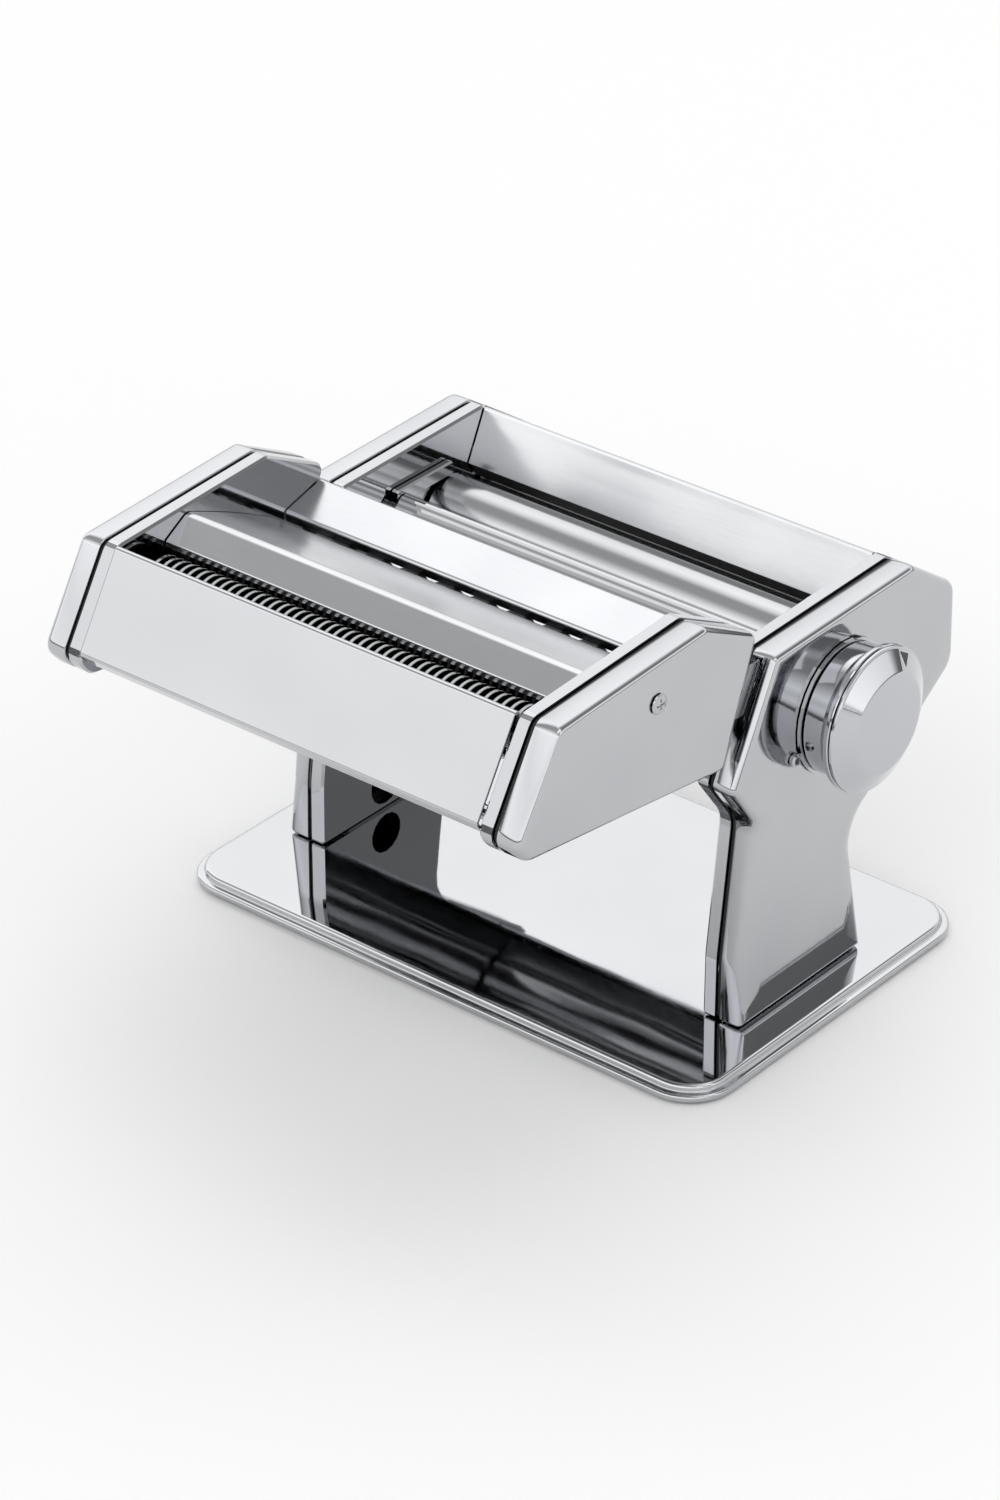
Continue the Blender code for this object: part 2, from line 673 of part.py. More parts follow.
def build_regulator(regulator, knob):
    """Shaft, its two cams, and the knob that slides on the shaft's end."""
    inner, outer = block_places(1)
    cam = cam_outline()
    core = []
    for y, z in cam:
        angle = math.atan2(z - KNOB_Z, y - KNOB_Y)
        core.append((KNOB_Y + REGULATOR_SHAFT * math.cos(angle), KNOB_Z + REGULATOR_SHAFT * math.sin(angle)))
    stations = [
        (-outer, cam), (-inner, cam), (-inner, core), (inner, core), (inner, cam), (outer, cam),
        (outer, core), (SHAFT_END, core),
    ]
    builder = skin_loops([[(x, *p) for p in loop] for x, loop in stations])
    finish_object("regulator_shaft", builder, "ground_steel", regulator, at=(KNOB_Y, KNOB_Z), smooth=30)

    back = KNOB_BACK
    spring_seat = SHAFT_END + 1.0
    bore = NECK_RADIUS - 4.0
    cap_back = KNOB_FACE - KNOB_CAP_LENGTH
    profile = [
        (back, REGULATOR_SHAFT + FIT), (back, NECK_RADIUS), (back + 6.4, NECK_RADIUS - 0.2),
        (back + 7.4, NECK_RADIUS - 1.4), (back + 8.0, NECK_RADIUS - 1.4), (back + 8.4, KNOB_RADIUS - 0.7),
        (back + 9.2, KNOB_RADIUS), (cap_back - FIT, KNOB_RADIUS), (cap_back - FIT, bore),
        (spring_seat, bore), (spring_seat, REGULATOR_SHAFT + FIT),
    ]
    builder = lathe(profile, KNOB_Y, KNOB_Z, 32, closed=True)
    finish_object("knob_body", builder, "polished_steel", knob, at=(KNOB_Y, KNOB_Z), smooth=30)
    profile = [
        (cap_back, KNOB_RADIUS - 0.3), (cap_back + 0.3, KNOB_RADIUS), (cap_back + 0.9, KNOB_RADIUS - 0.2),
        (KNOB_FACE - 0.3, KNOB_FACE_RADIUS + 0.6),
        (KNOB_FACE, KNOB_FACE_RADIUS - 0.5), (KNOB_FACE + 0.15, KNOB_FACE_RADIUS * 0.5),
        (KNOB_FACE + 0.2, 0.6),
    ]
    builder = lathe(profile, KNOB_Y, KNOB_Z, 32)
    finish_object("knob_cap", builder, "polished_steel", knob, at=(KNOB_Y, KNOB_Z), smooth=30)


# ---------------------------------------------------------------- cutter unit

def cutter_axes():
    return [
        ("narrow_front", NARROW_FRONT_Y, NARROW_Z, NARROW_SPACING),
        ("narrow_rear", NARROW_REAR_Y, NARROW_Z, NARROW_SPACING),
        ("wide_front", WIDE_FRONT_Y, WIDE_Z, WIDE_SPACING),
        ("wide_rear", WIDE_REAR_Y, WIDE_Z, WIDE_SPACING),
    ]


DRIVEN = ("narrow_front", "wide_front")


def build_cutter_ends(unit):
    for label, side in SIDES:
        pan = build_pan(f"{label}_cutter_plate", CAP, side, unit)
        cap = build_cover(f"{label}_cutter_cap", CAP, side, unit)
        build_gasket(f"{label}_cutter_gasket", CAP, side, unit)
        for name, y, z, _ in cutter_axes():
            ends = (side * (INNER_HALF - 1), side * (PAN_RIM + 1))
            guide = guide_rod(f"guide_{label}_{name}", *ends, CUTTER_SHAFT + FIT, y, z, unit)
            cut(pan, guide, guide.name)
            if side < 0 and name in DRIVEN:
                ends = (side * (COVER_FACE - WALL - 2), side * (COVER_FACE + 1))
                guide = guide_rod(f"guide_cap_{name}", *ends, CUTTER_SHAFT + 1.6 + 2 * FIT, y, z, unit)
                cut(cap, guide, guide.name)
        screw = (-73.8, 137.8)
        x = COVER_FACE + FIT
        profile = [(side * x, 3.2), (side * (x + 0.5), 3.1), (side * (x + 0.9), 2.2)]
        builder = lathe(profile, *screw, 12)
        finish_object(f"{label}_cap_screw", builder, "ground_steel", unit, at=screw)


def build_cutter_sheets(unit):
    down = (Vector(SHEET_BOTTOM) - Vector(SHEET_TOP)).normalized()
    inward = Vector((-down.y, down.x))
    top = Vector(SHEET_TOP)
    bottom = Vector(SHEET_BOTTOM)
    front = [
        bottom + inward * 5.0 + down * 2.4, bottom + down * 0.6, top, top + inward * 2.3,
        top + inward * 2.4 + down * 6.0,
    ]
    path = [tuple(p) for p in front]
    build_folded("front_sheet", path[::-1], 0.9, unit)

    ridge = [
        (RIDGE_FRONT_LIP[0] - 0.2, RIDGE_FRONT_LIP[1] - 1.8), RIDGE_FRONT_LIP, RIDGE_CREST, RIDGE_REAR_LIP,
        (RIDGE_REAR_LIP[0], RIDGE_REAR_LIP[1] - 3.4),
    ]
    build_folded("centre_ridge", ridge[::-1], 1.2, unit)

    feed = [
        (FEED_FRONT[0], FEED_FRONT[1] - 3.2), FEED_FRONT, FEED_REAR,
        (FEED_REAR[0] + 1.6, FEED_REAR[1] - 0.8), (FEED_REAR[0] + 0.6, FEED_REAR[1] - 4.6),
    ]
    build_folded("feed_sheet", feed[::-1], 1.2, unit)


def build_cutter_details(unit):
    for label, side in SIDES:
        points = [
            (-35.6, 113.4), (-24.0, 104.0), (-12.0, 104.0), (-12.0, 112.0), (-27.0, 128.6),
            (-31.4, 128.6),
        ]
        builder = extrude_outline(points, side * (SHEET_END - BRACKET_SHEET), side * SHEET_END)
        finish_object(f"{label}_hanging_bracket", builder, "brushed_steel", unit, smooth=20)
    for name, y, z, spacing in (
        ("narrow_comb", NARROW_NIP_Y, NARROW_Z, NARROW_SPACING), ("wide_comb", WIDE_NIP_Y, WIDE_Z, WIDE_SPACING),
    ):
        low = z - spacing / 2 - 1.6
        points = [
            (y + 1.6, low + 3.6), (y + 9.0, low), (y + 9.0, low - 1.2), (y - 9.0, low - 1.2),
            (y - 9.0, low), (y - 1.6, low + 3.6), (y - 1.6, low + 1.2), (y + 1.6, low + 1.2),
        ]
        builder = extrude_outline(points, -SHEET_END, SHEET_END)
        finish_object(name, builder, "brushed_steel", unit, smooth=20)
    bar("cutter_front_tie_rod", -SHEET_END, SHEET_END, 2.2, -125.0, 118.5, "ground_steel", unit)
    bar("cutter_middle_tie_rod", -SHEET_END, SHEET_END, 2.2, -76.0, 112.0, "ground_steel", unit)
    for name, y, z, _ in cutter_axes():
        if name not in DRIVEN:
            continue
        bore = CUTTER_SHAFT + FIT
        profile = [
            (-COVER_FACE + WALL, bore), (-COVER_FACE + WALL, bore + 1.6), (-COVER_FACE - FIT, bore + 1.6),
            (-COVER_FACE - FIT, bore + 3.2), (-COVER_FACE - 1.6, bore + 2.8), (-COVER_FACE - 1.6, bore),
        ]
        builder = lathe(profile, y, z, 16, closed=True)
        finish_object(f"{name}_crank_bush", builder, "polished_steel", unit)


def build_cutters(bodies):
    """Cutter rollers and their gears; the rings are shown at their mean radius."""
    half = SHEET_END - 3.4
    for name, y, z, spacing in cutter_axes():
        radius = spacing / 2 - 0.35
        right = PAN_RIM - 0.8
        if name in DRIVEN:
            builder = socket_roller(y, z, radius, half, CUTTER_SHAFT, -COVER_FACE - 0.9, right, 16)
        else:
            left = -(GEAR_INNER + GEAR_WIDTH + 0.4)
            builder = roller_builder(y, z, radius, half, CUTTER_SHAFT, left, right, 16)
        finish_object(f"{name}_cutter", builder, "polished_steel", bodies[name], at=(y, z))
        phase = math.pi / GEAR_TEETH if name in DRIVEN else math.pi
        builder = gear(-GEAR_INNER, -GEAR_INNER - GEAR_WIDTH, y, z, spacing / 2 + 0.8, spacing / 2 - 1.3,
                       CUTTER_SHAFT + FIT, phase)
        finish_object(f"{name}_gear", builder, "zinc_plate", bodies[name], at=(y, z), smooth=25)


# ---------------------------------------------------------------- assembly

def centre_over_origin(root):
    """Move the whole machine so that its bounding box is centred on the world's Z axis."""
    bpy.context.view_layer.update()
    low = [math.inf, math.inf]
    high = [-math.inf, -math.inf]
    for obj in bpy.data.objects:
        if obj.type != "MESH" or obj.hide_render:
            continue
        for vertex in obj.data.vertices:
            point = obj.matrix_world @ vertex.co
            for axis in (0, 1):
                low[axis] = min(low[axis], point[axis])
                high[axis] = max(high[axis], point[axis])
    root.location.x = -(low[0] + high[0]) / 2
    root.location.y = -(low[1] + high[1]) / 2


def main():
    clear_scene()
    root = make_empty("pasta_roller_machine", 0.0, 0.0)
    frame = make_empty("frame", 0.0, 0.0, root)
    build_base(frame)
    build_feet(frame)
    build_uprights(frame)
    build_body_sheets(frame)
    build_body_details(frame)

    rear_body = make_empty("rear_roller_axis", REAR_ROLLER_Y, ROLLER_Z, root)
    carriage = make_empty("gap_carriage", FRONT_ROLLER_Y, ROLLER_Z, root)
    front_body = make_empty("front_roller_axis", FRONT_ROLLER_Y, ROLLER_Z, carriage)
    build_rollers(rear_body, front_body)
    build_blocks(carriage)

    regulator = make_empty("regulator_axis", KNOB_Y, KNOB_Z, root)
    knob = make_empty("knob_slide", KNOB_Y, KNOB_Z, regulator)
    build_regulator(regulator, knob)

    unit = make_empty("cutter_unit", 0.0, 0.0, root)
    build_cutter_ends(unit)
    build_cutter_sheets(unit)
    build_cutter_details(unit)
    bodies = {}
    for name, y, z, _ in cutter_axes():
        bodies[name] = make_empty(f"{name}_axis", y, z, unit)
    build_cutters(bodies)
    centre_over_origin(root)


main()
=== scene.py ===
# %% [markdown]
# # A pasta roller machine in polished steel
#
# The working parts of the machine come from a finished CAD frame. This notebook adds what the eye
# sees: rounded pressings, ringed cutters, turned rollers, a chromed knob, and the finish of every
# surface. The frame is loaded first, because every later size and place is read from it.

# %% Load the frame
import json
import math

import bmesh
import bpy
from mathutils import Matrix, Vector


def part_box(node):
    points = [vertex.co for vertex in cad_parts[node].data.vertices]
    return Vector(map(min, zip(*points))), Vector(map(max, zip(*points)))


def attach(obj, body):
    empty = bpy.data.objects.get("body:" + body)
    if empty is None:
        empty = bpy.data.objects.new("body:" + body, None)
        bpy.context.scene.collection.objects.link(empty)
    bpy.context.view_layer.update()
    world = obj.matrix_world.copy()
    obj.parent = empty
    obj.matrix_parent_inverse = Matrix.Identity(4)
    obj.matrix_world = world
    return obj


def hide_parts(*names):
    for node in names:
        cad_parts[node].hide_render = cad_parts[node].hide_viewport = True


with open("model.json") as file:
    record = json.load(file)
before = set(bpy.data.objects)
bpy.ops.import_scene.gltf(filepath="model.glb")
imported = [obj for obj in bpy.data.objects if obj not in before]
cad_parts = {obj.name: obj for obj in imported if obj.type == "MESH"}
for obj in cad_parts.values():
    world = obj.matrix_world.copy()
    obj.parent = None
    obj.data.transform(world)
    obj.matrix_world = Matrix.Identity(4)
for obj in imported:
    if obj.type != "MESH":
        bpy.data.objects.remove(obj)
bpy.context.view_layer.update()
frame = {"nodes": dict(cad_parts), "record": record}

MM = 0.001

# %% [markdown]
# The machine is drawn around the middle of its base, with X along the rollers and Y to the back.
# Reading the base's box once gives that middle point, and one small function turns "so many
# millimetres from the middle of the base" into a place in the frame.

# %% Places measured from the base
base_low, base_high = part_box("base_tray")
BASE_X = (base_low.x + base_high.x) / 2
BASE_Y = (base_low.y + base_high.y) / 2


def place(x, y, z):
    return Vector((BASE_X + x * MM, BASE_Y + y * MM, z * MM))


def centre_of(node):
    low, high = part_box(node)
    return (low + high) / 2


print("base centre at", round(BASE_X, 4), round(BASE_Y, 4))

# %% [markdown]
# ## Finishes
#
# Colours are picked as sRGB hex values, as a paint chart gives them, and one function turns them
# into the linear numbers that the shader needs. A second small function adds any shader node, with
# its settings and its links, so that each recipe below reads as a short list.

# %% Colour and node helpers
def linear(hex_colour):
    values = []
    for start in (0, 2, 4):
        part = int(hex_colour[start:start + 2], 16) / 255
        values.append(part / 12.92 if part <= 0.04045 else ((part + 0.055) / 1.055) ** 2.4)
    return (*values, 1.0)


def add_node(material, kind, settings=None, links=None):
    made = material.node_tree.nodes.new(kind)
    for name, value in (settings or {}).items():
        if isinstance(name, str) and name not in made.inputs:
            setattr(made, name, value)
        else:
            made.inputs[name].default_value = value
    for name, source in (links or {}).items():
        material.node_tree.links.new(source, made.inputs[name])
    return made


def start_finish(name, colour, roughness, metallic):
    material = bpy.data.materials.new(name)
    material.use_nodes = True
    shader = material.node_tree.nodes["Principled BSDF"]
    shader.inputs["Base Color"].default_value = linear(colour)
    shader.inputs["Roughness"].default_value = roughness
    shader.inputs["Metallic"].default_value = metallic
    return material, shader


def link(material, source, shader, name):
    material.node_tree.links.new(source, shader.inputs[name])


# %% [markdown]
# Steel takes its look from how it was last worked: mirror polish on the pressings, satin on the
# sheets that the dough slides over, brushing on hidden strips, turning on rollers and screws,
# grinding on the cutters, and zinc plate on the gears. All share one recipe: fine marks drawn by
# stretched noise change the roughness and a very low bump, and a broad, soft noise gives the slight
# waves that pressing leaves in sheet. The grain is about 0.05 mm on the real thing, far below what
# shows, so it is drawn five to twelve times coarser.
#
# The rear and the wide cutters get a darker, rougher steel than the front narrow one. This dark copy
# is painted shade: they sit in the shade of their slots. How dark the real ones are is a guess.

# %% A recipe for worked steel
WAVE_MM = 38.0


def worked_steel(name, colour, rough_low, rough_high, grain_mm, stretch, scratch_bump, wave_bump,
                 tint):
    material, shader = start_finish(name, colour, rough_high, 1.0)
    where = add_node(material, "ShaderNodeTexCoord")
    stretched = add_node(material, "ShaderNodeMapping", {"Scale": stretch},
                         {"Vector": where.outputs["Object"]})
    grain = add_node(material, "ShaderNodeTexNoise",
                     {"Scale": 1 / (grain_mm * MM), "Detail": 4.0, "Roughness": 0.6},
                     {"Vector": stretched.outputs["Vector"]})
    cloud = add_node(material, "ShaderNodeTexNoise", {"Scale": 1 / (WAVE_MM * MM), "Detail": 1.0},
                     {"Vector": where.outputs["Object"]})
    mixed = add_node(material, "ShaderNodeMath", {"operation": "MULTIPLY"},
                     {0: grain.outputs["Fac"], 1: cloud.outputs["Fac"]})
    rough = add_node(material, "ShaderNodeMapRange",
                     {"From Min": 0.1, "From Max": 0.4, "To Min": rough_low, "To Max": rough_high},
                     {"Value": mixed.outputs["Value"]})
    link(material, rough.outputs["Result"], shader, "Roughness")
    shade = add_node(material, "ShaderNodeMix", {"data_type": "RGBA"}, {0: cloud.outputs["Fac"]})
    shade.inputs[6].default_value = linear(colour)
    shade.inputs[7].default_value = [a * b for a, b in zip(linear(colour), linear(tint))]
    link(material, shade.outputs[2], shader, "Base Color")
    waves = add_node(material, "ShaderNodeBump", {"Strength": 1.0, "Distance": wave_bump * MM},
                     {"Height": cloud.outputs["Fac"]})
    marks = add_node(material, "ShaderNodeBump", {"Strength": 1.0, "Distance": scratch_bump * MM},
                     {"Height": grain.outputs["Fac"], "Normal": waves.outputs["Normal"]})
    link(material, marks.outputs["Normal"], shader, "Normal")
    return material


mirror_sheet = worked_steel("mirror_polished_stainless_sheet", "C3C4C6", 0.012, 0.05, 0.5,
                            (0.12, 1.0, 1.0), 0.0001, 0.07, tint="F4F5F6")
mirror_press = worked_steel("mirror_polished_pressing", "C1C2C4", 0.03, 0.09, 0.5,
                            (1.0, 0.3, 0.3), 0.0004, 0.10, tint="F0F1F3")
chrome_knob = worked_steel("bright_chromed_knob", "C4C5C8", 0.04, 0.10, 0.4,
                           (1.0, 1.0, 1.0), 0.0003, 0.01, tint="F2F3F5")
brushed_strip = worked_steel("brushed_stainless_strip", "B4B6B8", 0.22, 0.34, 0.25,
                             (0.03, 1.0, 1.0), 0.004, 0.02, tint="E6E7E8")
satin_sheet = worked_steel("satin_stainless_sheet", "CDCED0", 0.16, 0.26, 0.4,
                           (0.05, 1.0, 1.0), 0.0004, 0.02, tint="F0F1F2")
turned_steel = worked_steel("fine_turned_steel", "BFC0C1", 0.10, 0.20, 0.30,
                            (1.0, 0.04, 0.04), 0.0015, 0.004, tint="EDEEEF")
cutter_steel = worked_steel("ground_cutter_steel", "9C9D9E", 0.08, 0.14, 0.30,
                            (0.4, 1.0, 1.0), 0.001, 0.002, tint="EDEEEF")
# A dark copy of the cutter steel: painted shade for the cutters that sit deep in their slots.
shadow_steel = worked_steel("painted_shade_cutter_steel", "262627", 0.40, 0.55, 0.30,
                            (0.4, 1.0, 1.0), 0.001, 0.002, tint="D8D8D8")
zinc_gear = worked_steel("zinc_plated_gear_steel", "9FA3A6", 0.30, 0.45, 0.6,
                         (1.0, 1.0, 1.0), 0.006, 0.01, tint="D9DDE2")
print("steel finishes:", 9)

# %% [markdown]
# Rubber and acetal are not metals. Nitrile rubber scatters light in a dark, soft way, and a fine
# pebble grain breaks its sheen. Acetal is a milky plastic with a waxy shine. The black enamel fills
# the pointer mark of the knob.

# %% Rubber, acetal and enamel
ROUGHNESS_SPREAD = 0.08


def moulded(name, colour, roughness, grain_mm, bump):
    material, shader = start_finish(name, colour, roughness, 0.0)
    where = add_node(material, "ShaderNodeTexCoord")
    grain = add_node(material, "ShaderNodeTexNoise",
                     {"Scale": 1 / (grain_mm * MM), "Detail": 3.0},
                     {"Vector": where.outputs["Object"]})
    rough = add_node(material, "ShaderNodeMapRange",
                     {"To Min": roughness - ROUGHNESS_SPREAD, "To Max": roughness + ROUGHNESS_SPREAD},
                     {"Value": grain.outputs["Fac"]})
    link(material, rough.outputs["Result"], shader, "Roughness")
    shade = add_node(material, "ShaderNodeMix", {"data_type": "RGBA"}, {0: grain.outputs["Fac"]})
    shade.inputs[6].default_value = [0.8 * value for value in linear(colour)[:3]] + [1.0]
    shade.inputs[7].default_value = linear(colour)
    link(material, shade.outputs[2], shader, "Base Color")
    marks = add_node(material, "ShaderNodeBump", {"Strength": 1.0, "Distance": bump * MM},
                     {"Height": grain.outputs["Fac"]})
    link(material, marks.outputs["Normal"], shader, "Normal")
    return material


seam_rubber = moulded("black_nitrile_seam_strip", "0B0B0C", 0.55, 0.8, 0.02)
foot_rubber = moulded("black_nitrile_foot", "161617", 0.75, 0.6, 0.05)
natural_acetal = moulded("natural_acetal", "DAD8D0", 0.42, 1.2, 0.01)
black_enamel = moulded("black_enamel_fill", "0D0D0E", 0.30, 0.5, 0.005)

# %% [markdown]
# The record of the machine says which material slot each node belongs to. The finishes are handed
# out by slot first, and the few pieces that need something else are named after it.

# %% Hand out the finishes
BY_SLOT = {
    "polished_steel": mirror_sheet,
    "brushed_steel": brushed_strip,
    "ground_steel": turned_steel,
    "zinc_plate": zinc_gear,
    "black_gasket": seam_rubber,
    "black_rubber": foot_rubber,
    "white_bush": natural_acetal,
}
slot_of = {}
for entry in frame["record"]["subparts"]:
    slot_of[entry["node"]] = entry["material_slot"]
for name, node in frame["nodes"].items():
    node.data.materials.clear()
    node.data.materials.append(BY_SLOT[slot_of[name]])
print("nodes with a finish:", len(slot_of))

# %% [markdown]
# ## Soft edges on folded sheet
#
# A sheet cut with a die never has a razor edge. A Bevel modifier rounds every hard edge by a
# fraction of a millimetre, which catches a thin line of light, and a Weighted Normal modifier keeps
# the large faces flat, so that a mirror finish doesn't bend at their borders.

# %% Rounding helpers
EDGE_ANGLE = math.radians(32.0)


def round_edges(piece, width_mm, segments):
    bevel = piece.modifiers.new("die_edge", "BEVEL")
    bevel.width = width_mm * MM
    bevel.segments = segments
    bevel.limit_method = "ANGLE"
    bevel.angle_limit = EDGE_ANGLE
    bevel.harden_normals = False
    flatten(piece)


def flatten(piece):
    weighted = piece.modifiers.new("flat_faces", "WEIGHTED_NORMAL")
    weighted.keep_sharp = True
    weighted.weight = 90


SHEETS = ["hopper_sheet", "rear_cover", "front_cover"]
for name in SHEETS:
    round_edges(frame["nodes"][name], 0.25, 2)
for name in ("left_dough_guide", "right_dough_guide"):
    round_edges(frame["nodes"][name], 0.3, 2)
for name in ("left_hanging_bracket", "right_hanging_bracket", "front_scraper", "rear_scraper"):
    round_edges(frame["nodes"][name], 0.2, 1)
for name in ("left_inner_plate", "right_inner_plate", "left_cutter_plate", "right_cutter_plate"):
    round_edges(frame["nodes"][name], 0.3, 2)
    frame["nodes"][name].data.materials[0] = mirror_press
frame["nodes"]["hopper_sheet"].data.materials[0] = satin_sheet
print("rounded sheets:", len(SHEETS))

# %% [markdown]
# ## Builders
#
# Nearly all pieces are either turned about an axis or pressed to an outline. Both are the same
# job for a mesh: a row of closed loops, joined by quads and capped at the two ends. The builder
# below does that once, and the turned and pressed pieces only supply their loops.

# %% Skin, turn and finish
def skin(loops, closed=False):
    builder = bmesh.new()
    rings = [[builder.verts.new(point) for point in loop] for loop in loops]
    pairs = list(zip(rings, rings[1:]))
    if closed:
        pairs.append((rings[-1], rings[0]))
    else:
        builder.faces.new(rings[0])
        builder.faces.new(rings[-1])
    for first, second in pairs:
        for i, vertex in enumerate(first):
            j = (i + 1) % len(first)
            builder.faces.new((vertex, first[j], second[j], second[i]))
    bmesh.ops.recalc_face_normals(builder, faces=builder.faces)
    return builder


def finish_piece(name, builder, material, body, replaced=(), sharp=38.0):
    mesh = bpy.data.meshes.new(name)
    builder.to_mesh(mesh)
    builder.free()
    mesh.shade_smooth()
    mesh.set_sharp_from_angle(angle=math.radians(sharp))
    mesh.materials.append(material)
    piece = bpy.data.objects.new(name, mesh)
    bpy.context.collection.objects.link(piece)
    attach(piece, body)
    if replaced:
        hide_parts(*replaced)
    return piece


def turned(profile, axis, segments=64, closed=False):
    """Turn (x, radius) pairs, in metres, about a line along X through the point axis."""
    loops = []
    for x, radius in profile:
        loop = []
        for k in range(segments):
            angle = 2 * math.pi * k / segments
            loop.append((x, axis.y + radius * math.cos(angle), axis.z + radius * math.sin(angle)))
        loops.append(loop)
    return skin(loops, closed)


def quarter(u0, v0, u1, v1, steps, late_u):
    """Quarter round between two profile points; late_u makes the second value move first."""
    points = []
    for k in range(steps + 1):
        angle = math.pi / 2 * k / steps
        early, late = math.sin(angle), 1 - math.cos(angle)
        u_share, v_share = (late, early) if late_u else (early, late)
        points.append((u0 + (u1 - u0) * u_share, v0 + (v1 - v0) * v_share))
    return points


CORNER_STEPS = 7


def round_corner(before, here, after, radius):
    """Points of the arc that rounds the corner here, between its two neighbours."""
    back = (before - here).normalized()
    ahead = (after - here).normalized()
    half = back.angle(ahead) / 2
    reach = radius / math.tan(half)
    centre = here + (back + ahead).normalized() * (radius / math.sin(half))
    start = here + back * reach - centre
    sweep = start.angle_signed(here + ahead * reach - centre)
    points = []
    for k in range(CORNER_STEPS + 1):
        spoke = start.copy()
        spoke.rotate(Matrix.Rotation(-sweep * k / CORNER_STEPS, 2))
        points.append(centre + spoke)
    return points


# %% [markdown]
# ## Side covers and cutter caps
#
# Each side of the machine is closed by a deep-drawn shell. Sheet can't be drawn to a sharp corner,
# so the rim turns into the face through a soft round. The outline is kept as its few corners, each
# with its own radius, and moved inwards for every step of that round. A straight bevel modifier
# would give the same width everywhere, but it can't keep small convex corners from pinching. The leg
# has a wider, softer round than the head, and fades into it over the neck.

# %% Outlines with rounded corners
HEAD = [
    (-18.1, 127.8, 3.0), (-36.8, 90.0, 3.0), (-24.4, 73.5, 9.0), (-30.2, 27.0, 30.0),
    (-30.4, 5.75, 1.0), (30.4, 5.75, 1.0), (24.4, 50.0, 14.0), (72.9, 87.0, 9.0),
    (72.3, 114.0, 6.0), (49.7, 129.3, 5.0),
]
CAP = [
    (-117.6, 149.2, 4.5), (-136.2, 118.6, 5.0), (-130.5, 112.0, 6.0), (-41.5, 100.5, 3.0),
    (-26.4, 139.4, 3.0), (-51.5, 152.3, 4.0),
]


def outline(corners, inset):
    """Rounded outline as (y, z) in mm, every side moved inwards by inset."""
    count = len(corners)
    moved = []
    for i, (y, z, radius) in enumerate(corners):
        before = Vector(corners[i - 1][:2])
        here = Vector((y, z))
        after = Vector(corners[(i + 1) % count][:2])
        d1 = (here - before).normalized()
        d2 = (after - here).normalized()
        n1 = Vector((-d1.y, d1.x))
        n2 = Vector((-d2.y, d2.x))
        outside = d1.x * d2.y - d1.y * d2.x > 0
        kept = max(radius - inset, 0.5) if outside else radius + inset
        moved.append((here + (n1 + n2) / (1.0 + n1.dot(n2)) * inset, kept))
    points = []
    for i, (here, radius) in enumerate(moved):
        points += round_corner(moved[i - 1][0], here, moved[(i + 1) % count][0], radius)
    return points


# %% Pressed shells
WALL = 1.2
COVER_DEPTH = 8.2
HEAD_ROUND = (2.9, 2.3)
LEG_ROUND = (4.6, 8.5)
ROUND_STEPS = (0.0, 0.08, 0.3, 0.65, 1.1, 1.65, 2.3, 3.2, 4.4, 5.8, 7.2, 8.5)
LEG_TOP_FADE = (86.0, 64.0)
LEG_FOOT_FADE = (7.0, 16.0)


def drop(inset, rounding):
    """How far the shell's face lies back at a distance from its outline."""
    depth, width = rounding
    if inset >= width:
        return 0.0
    return depth * (1 - math.sqrt(1 - ((width - inset) / width) ** 2))


def ease(value, start, end):
    part = min(max((value - start) / (end - start), 0.0), 1.0)
    return part * part * (3 - 2 * part)


def pressed_shell(name, node, corners, side, body, soft_leg):
    low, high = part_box(node)
    face = max(abs(low.x - BASE_X), abs(high.x - BASE_X)) / MM
    rim = face - COVER_DEPTH
    start = face - HEAD_ROUND[0]
    loops = []
    for x, inset in ((face - WALL, 3.5), (start, WALL), (rim, WALL), (rim, 0.25), (rim + 0.25, 0.0)):
        loops.append([place(side * x, p.x, p.y) for p in outline(corners, inset)])
    for inset in ROUND_STEPS:
        if not soft_leg and inset > HEAD_ROUND[1]:
            break
        loop = []
        for p in outline(corners, inset):
            back = drop(inset, HEAD_ROUND)
            if soft_leg:
                share = ease(p.y, *LEG_TOP_FADE) * ease(p.y, *LEG_FOOT_FADE)
                back += (drop(inset, LEG_ROUND) - back) * share
            loop.append(place(side * (face - back), p.x, p.y))
        loops.append(loop)
    finish_piece(name, skin(loops), mirror_press, body, (node,), 50.0)


for label, side in (("left", -1), ("right", 1)):
    pressed_shell(f"{label}_pressed_cover", f"{label}_cover", HEAD, side, "frame", True)
    pressed_shell(f"{label}_pressed_cap", f"{label}_cutter_cap", CAP, side, "cutter_unit", False)
print("pressed shells:", 4)

# %% [markdown]
# ## Folded sheets of the cutter unit
#
# The front sheet, the ridge between the two slots and the feed sheet are bent from one flat strip
# each. Their section is an open line with a small radius at every bend, thickened to one side and
# drawn along the machine. The crest of the ridge has the widest bend, and its long rear slope is a
# very slight arch, which is why it carries a soft gradient instead of one flat tone.

# %% Sections bent from strip
SHEET = 0.9
SHEET_HALF = 74.6


def bend(corners):
    points = [Vector(corners[0][:2])]
    for before, (y, z, radius), after in zip(corners, corners[1:], corners[2:]):
        points += round_corner(Vector(before[:2]), Vector((y, z)), Vector(after[:2]), radius)
    points.append(Vector(corners[-1][:2]))
    return points


def folded_sheet(name, node, corners, body, material):
    line = bend(corners)
    under = []
    for i, here in enumerate(line):
        along = line[min(i + 1, len(line) - 1)] - line[max(i - 1, 0)]
        along.normalize()
        under.append(here + Vector((-along.y, along.x)) * SHEET)
    section = line + under[::-1]
    loops = [[place(x, p.x, p.y) for p in section] for x in (-SHEET_HALF, SHEET_HALF)]
    piece = finish_piece(name, skin(loops), material, body, (node,), 60.0)
    flatten(piece)


